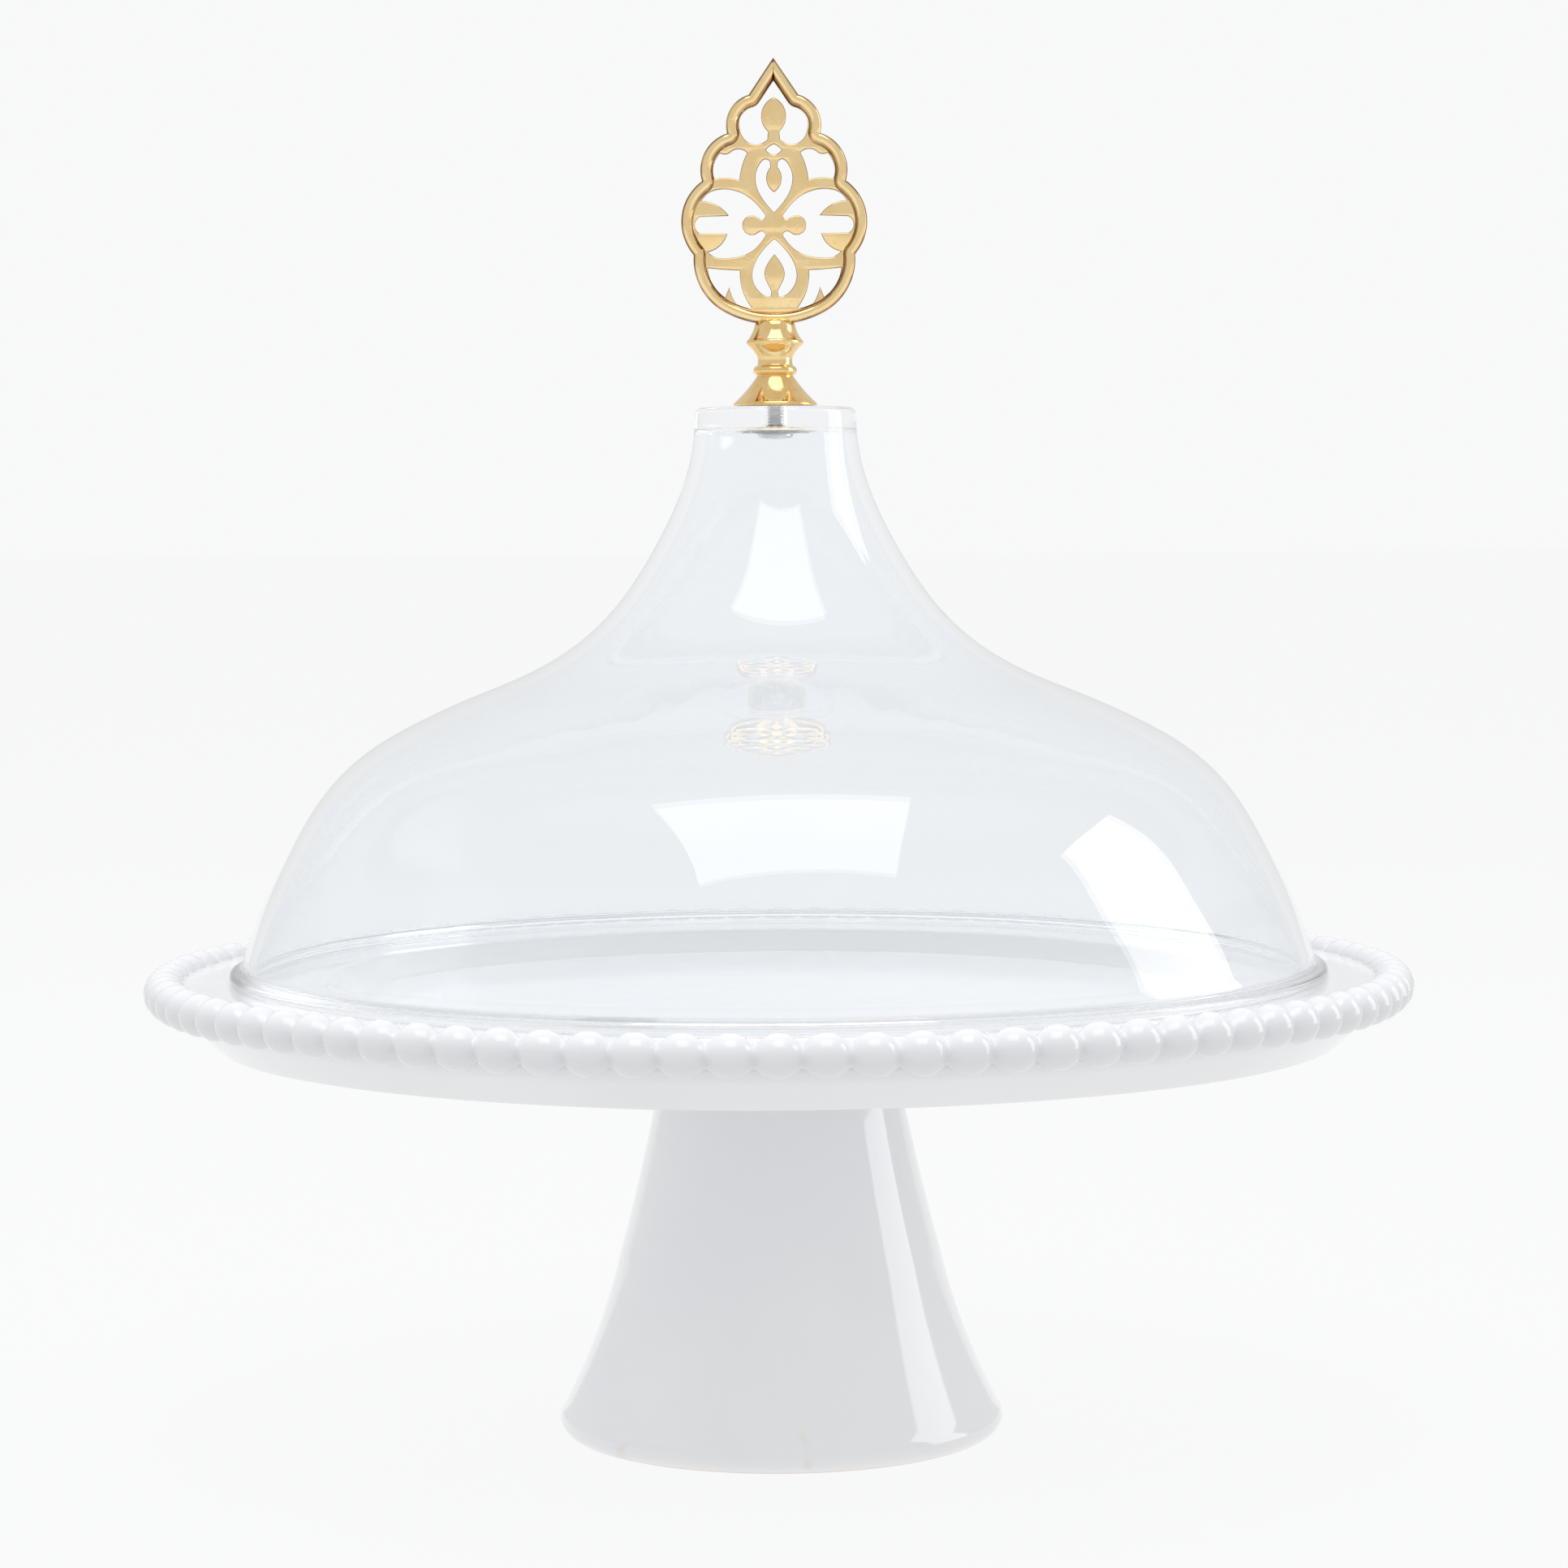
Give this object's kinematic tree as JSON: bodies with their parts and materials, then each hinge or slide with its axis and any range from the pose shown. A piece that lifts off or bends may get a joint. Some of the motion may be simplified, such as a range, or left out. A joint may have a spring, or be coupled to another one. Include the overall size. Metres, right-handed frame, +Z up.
{
  "type": "cake stand with dome",
  "caption": "Footed porcelain cake stand with beaded rim, hollow flared pedestal and a lift-off clear glass bell dome with a gold openwork finial.",
  "frame": {"origin": "on the table under the centre of the pedestal", "axes": "+Z up along the axis of plate, pedestal and dome; the flat crest faces -Y"},
  "size_m": [0.3, 0.3, 0.326],
  "materials": {
    "porcelain": "clear gloss glaze",
    "clear_glass": "polished",
    "clear_gasket": "clear, smooth",
    "plated_steel": "nickel plated, bright",
    "gold_plate": "gold plated, polished casting"
  },
  "bodies": {
    "stand": {"plate": "porcelain", "pedestal": "porcelain"},
    "dome": {"dome": "clear_glass", "outer_gasket": "clear_gasket", "inner_gasket": "clear_gasket"},
    "finial": {"finial_crest": "gold_plate", "finial_stem": "gold_plate", "fixing_screw": "plated_steel", "screw_washer": "plated_steel"}
  },
  "joints": [
    {"name": "dome_lift", "type": "slide", "parent": "stand", "child": "dome", "axis": [0, 0, 1], "range_m": [0, 0.25]},
    {"name": "finial_turn", "type": "hinge", "parent": "dome", "child": "finial", "pos_m": [0, 0, 0.244], "axis": [0, 0, 1], "continuous": true}
  ]
}
